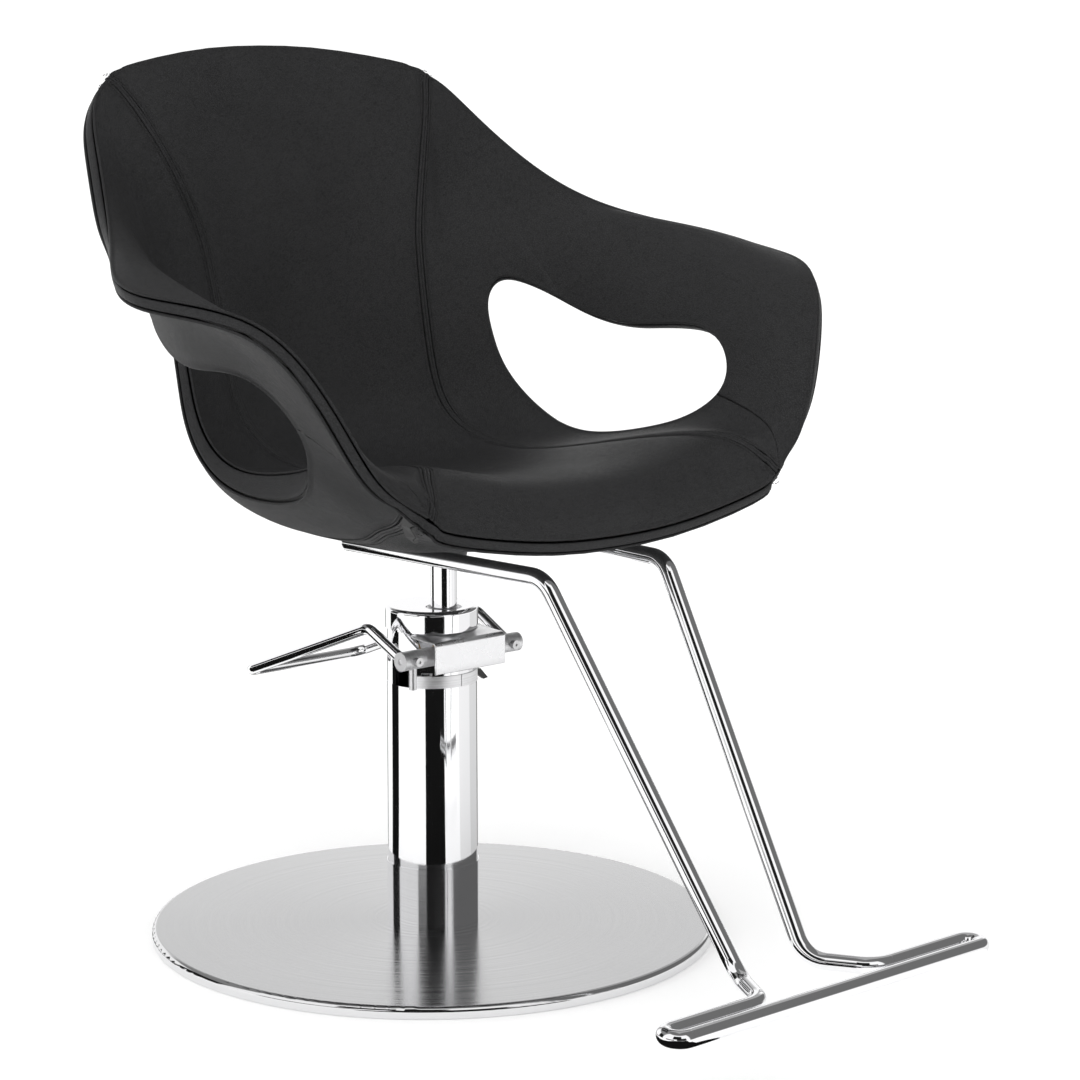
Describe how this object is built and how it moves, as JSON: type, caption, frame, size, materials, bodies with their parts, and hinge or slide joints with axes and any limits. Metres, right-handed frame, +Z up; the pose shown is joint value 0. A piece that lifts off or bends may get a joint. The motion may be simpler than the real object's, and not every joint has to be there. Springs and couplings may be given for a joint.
{
  "type": "salon styling chair",
  "caption": "Black upholstered bucket styling chair with open arms, chrome hydraulic column, foot pedal, T-bar footrest and round steel base.",
  "frame": {"origin": "floor level on the axis of the round base", "axes": "+Z up, -Y towards the front where the sitter faces, +X to the left of the sitter"},
  "size_m": [0.8432, 0.8995, 0.9358],
  "materials": {
    "brushed_plate": "circular brushed stainless sheet, polished rim",
    "polished_chrome": "bright chrome plate",
    "bare_steel": "machined and brushed steel",
    "dark_metal": "black painted steel",
    "bronze": "oiled bronze bush",
    "black_rubber": "matte rubber",
    "black_leather": "black synthetic leather, fine pebble grain",
    "shell_plastic": "moulded plastic shell"
  },
  "bodies": {
    "base": {"base_cover": "brushed_plate", "ballast": "dark_metal", "foot_pad": "black_rubber", "sleeve": "polished_chrome", "base_plug": "dark_metal", "base_bolt_1": "bare_steel", "base_bolt_2": "bare_steel", "base_bolt_3": "bare_steel", "tube": "polished_chrome", "barrel": "bare_steel", "head_casting": "polished_chrome", "cap": "polished_chrome", "gland": "bare_steel", "head_cover": "polished_chrome", "head_band": "bare_steel", "stop_hook": "dark_metal", "set_screw": "bare_steel", "valve_block": "bare_steel", "spring": "bare_steel", "bush_left": "bronze", "bush_right": "bronze"},
    "pedal": {"shaft": "bare_steel", "cam_arm": "dark_metal", "clamp_left": "bare_steel", "clamp_right": "bare_steel", "pedal_stop": "bare_steel", "pedal": "polished_chrome"},
    "plunger": {"plunger": "bare_steel"},
    "ram": {"ram": "polished_chrome", "piston": "bare_steel", "piston_seal": "black_rubber"},
    "seat": {"socket": "dark_metal", "seat_plate": "dark_metal", "seat_bolt_1": "bare_steel", "seat_bolt_2": "bare_steel", "seat_bolt_3": "bare_steel", "seat_bolt_4": "bare_steel", "foot_left": "polished_chrome", "foot_right": "polished_chrome", "foot_bar": "polished_chrome", "pan_center": "shell_plastic", "pan_left": "shell_plastic", "pan_right": "shell_plastic", "pad_center": "black_leather", "pad_left": "black_leather", "pad_right": "black_leather", "back_center": "black_leather", "back_left": "black_leather", "back_right": "black_leather", "rim_band": "black_leather", "trim_left": "black_leather", "trim_right": "black_leather"}
  },
  "joints": [
    {"name": "seat_lift", "type": "slide", "parent": "base", "child": "ram", "axis": [0, 0, 1], "range_m": [0, 0.15]},
    {"name": "seat_swivel", "type": "hinge", "parent": "ram", "child": "seat", "pos_m": [0, -0.02, 0.42], "axis": [0, 0, 1], "continuous": true},
    {"name": "pedal_pump", "type": "hinge", "parent": "base", "child": "pedal", "pos_m": [0, -0.0455, 0.311], "axis": [-1, 0, 0], "range_deg": [0, 20], "stiffness_Nm_per_rad": 4, "springref_deg": -28.65},
    {"name": "plunger_stroke", "type": "slide", "parent": "base", "child": "plunger", "axis": [0, 0, -1], "range_m": [0, 0.012], "deforming": ["spring"]}
  ],
  "couplings": [
    {"joint": "plunger_stroke", "follows": "pedal_pump", "m_per_rad": 0.0336}
  ]
}
